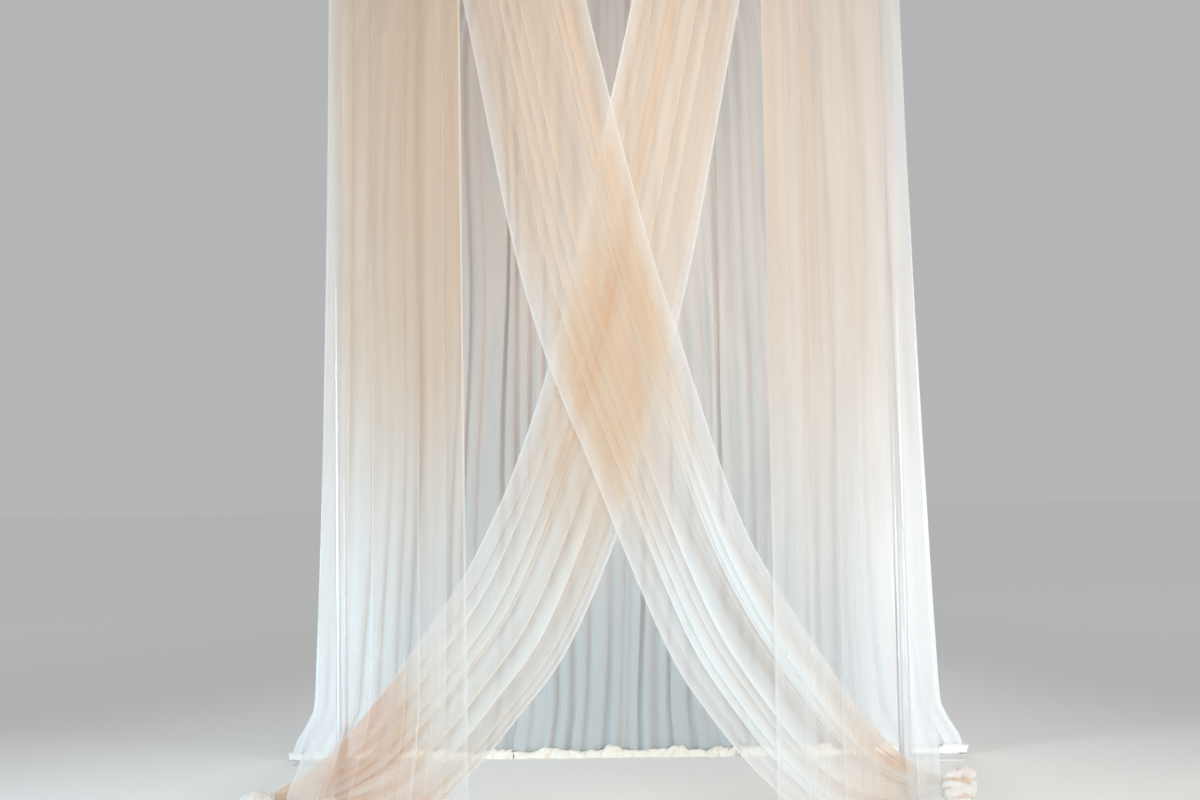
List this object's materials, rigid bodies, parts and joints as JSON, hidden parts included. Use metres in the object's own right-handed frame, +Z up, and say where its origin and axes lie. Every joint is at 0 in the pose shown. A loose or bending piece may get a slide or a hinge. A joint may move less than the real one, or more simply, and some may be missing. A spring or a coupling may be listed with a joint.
{
  "type": "wedding canopy",
  "caption": "Pipe and drape wedding canopy with a pleated back curtain, hanging side sheers and two sheers that cross at the front and are tied to the feet of the uprights.",
  "frame": {"origin": "middle of the plan on the floor", "axes": "+Z up, the front of the canopy faces -Y, +X to the right seen from the front"},
  "size_m": [3.754, 2.439, 4.5859],
  "materials": {
    "base_steel": "white powder coated steel plate",
    "tube_aluminium": "satin drawn aluminium tube",
    "lock_casting": "cast aluminium fittings",
    "curtain_cloth": "opaque pale grey poly curtain",
    "hem_cloth": "cream curtain hem, crumpled",
    "sheer_cloth": "white sheer voile",
    "warm_sheer_cloth": "ivory sheer voile"
  },
  "bodies": {
    "root": {"base_plate_front_left": "base_steel", "base_plate_front_right": "base_steel", "base_plate_back_left": "base_steel", "base_plate_back_right": "base_steel", "lower_upright_front_left": "tube_aluminium", "lower_upright_front_right": "tube_aluminium", "lower_upright_back_left": "tube_aluminium", "lower_upright_back_right": "tube_aluminium", "slip_lock_front_left": "lock_casting", "slip_lock_front_right": "lock_casting", "slip_lock_back_left": "lock_casting", "slip_lock_back_right": "lock_casting", "upper_upright_front_left": "tube_aluminium", "upper_upright_front_right": "tube_aluminium", "upper_upright_back_left": "tube_aluminium", "upper_upright_back_right": "tube_aluminium", "crown_front_left": "lock_casting", "crown_front_right": "lock_casting", "crown_back_left": "lock_casting", "crown_back_right": "lock_casting", "crossbar_front_outer_tube": "tube_aluminium", "crossbar_front_inner_tube": "tube_aluminium", "crossbar_back_outer_tube": "tube_aluminium", "crossbar_back_inner_tube": "tube_aluminium", "crossbar_left_outer_tube": "tube_aluminium", "crossbar_left_inner_tube": "tube_aluminium", "crossbar_right_outer_tube": "tube_aluminium", "crossbar_right_inner_tube": "tube_aluminium", "back_curtain_left": "curtain_cloth", "back_curtain_centre": "curtain_cloth", "back_curtain_right": "curtain_cloth", "back_hem_left": "hem_cloth", "back_hem_centre": "hem_cloth", "back_hem_right": "hem_cloth", "side_sheer_left": "sheer_cloth", "side_sheer_right": "sheer_cloth", "crossed_sheer_front": "warm_sheer_cloth", "crossed_sheer_rear": "warm_sheer_cloth", "tie_band_left": "warm_sheer_cloth", "tie_band_right": "warm_sheer_cloth", "rosette_left": "warm_sheer_cloth", "rosette_right": "warm_sheer_cloth", "roof_cloth_left": "sheer_cloth", "roof_cloth_right": "sheer_cloth"}
  },
  "joints": []
}
